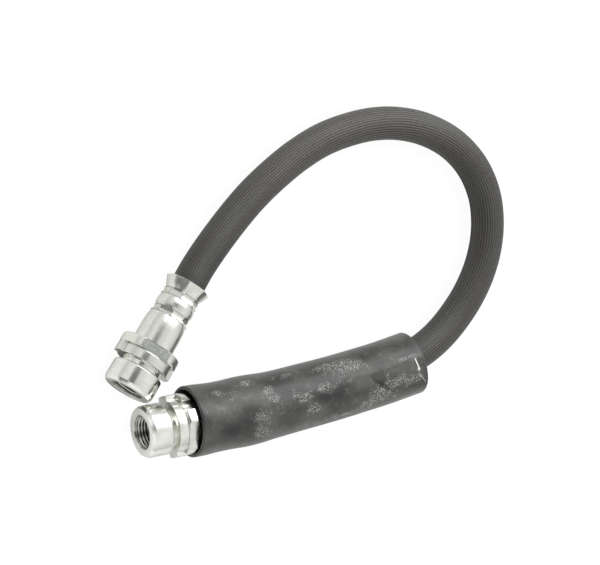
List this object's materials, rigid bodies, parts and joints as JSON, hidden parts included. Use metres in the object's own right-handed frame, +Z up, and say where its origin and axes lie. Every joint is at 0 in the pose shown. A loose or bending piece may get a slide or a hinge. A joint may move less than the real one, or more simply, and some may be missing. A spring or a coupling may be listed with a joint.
{
  "type": "brake hose",
  "caption": "Flexible hydraulic brake hose in a loop, with a crimped steel fitting with a threaded port on each end and a loose rubber sleeve over one end.",
  "frame": {"origin": "bottom middle of the box around the rigid pieces: both fittings, their inserts and the sleeve", "axes": "+Z up from the surface it lies on, +X from the fittings' front faces towards the bend of the hose"},
  "size_m": [0.1525, 0.0897, 0.022],
  "materials": {
    "zinc_plated_steel": "bright zinc plate, turned",
    "insert_steel": "plain drawn steel",
    "hose_rubber": "matt, fine lengthwise ribs",
    "sleeve_rubber": "satin, scuffed"
  },
  "bodies": {
    "root": {"end_fitting_a": "zinc_plated_steel", "end_fitting_b": "zinc_plated_steel", "nipple_a": "insert_steel", "nipple_b": "insert_steel", "hose": "hose_rubber", "protective_sleeve": "sleeve_rubber"}
  },
  "joints": []
}
